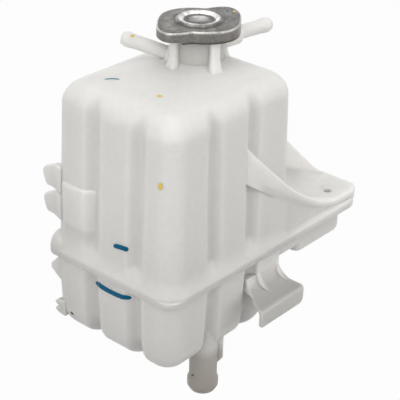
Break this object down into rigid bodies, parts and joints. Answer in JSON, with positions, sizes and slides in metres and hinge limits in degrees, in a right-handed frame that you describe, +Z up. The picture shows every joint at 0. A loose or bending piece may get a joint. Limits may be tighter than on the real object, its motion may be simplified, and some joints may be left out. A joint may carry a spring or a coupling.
{
  "type": "coolant expansion tank",
  "caption": "Translucent moulded coolant expansion tank with a fluted tower, side mounting lug, hook foot, hose nipples, bottom outlet and a pressed-steel bayonet pressure cap.",
  "frame": {"origin": "middle of the mounting lug's hole, on the lug's top face", "axes": "+Z up along the tower towards the cap, +X from the tower out along the lug, +Y away from the wall that carries the foot"},
  "size_m": [0.3, 0.209, 0.3682],
  "materials": {
    "tank": "milky translucent polypropylene, satin",
    "cap_steel": "worn plated sheet steel",
    "zinc": "zinc plated",
    "spring_steel": "spring wire",
    "brass": "satin",
    "rubber": "matt"
  },
  "bodies": {
    "tank": {"upper_shell": "tank", "lower_shell": "tank"},
    "cap": {"cap_cover": "cap_steel", "spring_disc": "spring_steel", "rim_gasket": "rubber", "cap_rivet": "zinc", "valve_bell": "zinc", "pressure_spring": "spring_steel"},
    "pressure_valve": {"pressure_plate": "brass", "pressure_seal": "rubber", "vacuum_spring": "spring_steel"},
    "vacuum_valve": {"vacuum_valve": "brass", "vacuum_washer": "zinc"}
  },
  "joints": [
    {"name": "cap_turn", "type": "hinge", "parent": "tank", "child": "cap", "pos_m": [-0.147, 0.058, 0.2], "axis": [0, 0, 1], "range_deg": [0, 90]},
    {"name": "pressure_lift", "type": "slide", "parent": "cap", "child": "pressure_valve", "axis": [0, 0, 1], "range_m": [0, 0.0022], "stiffness_N_per_m": 8500, "springref_m": -0.008, "deforming": ["pressure_spring"]},
    {"name": "vacuum_drop", "type": "slide", "parent": "pressure_valve", "child": "vacuum_valve", "axis": [0, 0, -1], "range_m": [0, 0.0015], "stiffness_N_per_m": 150, "springref_m": -0.0025, "deforming": ["vacuum_spring"]}
  ]
}
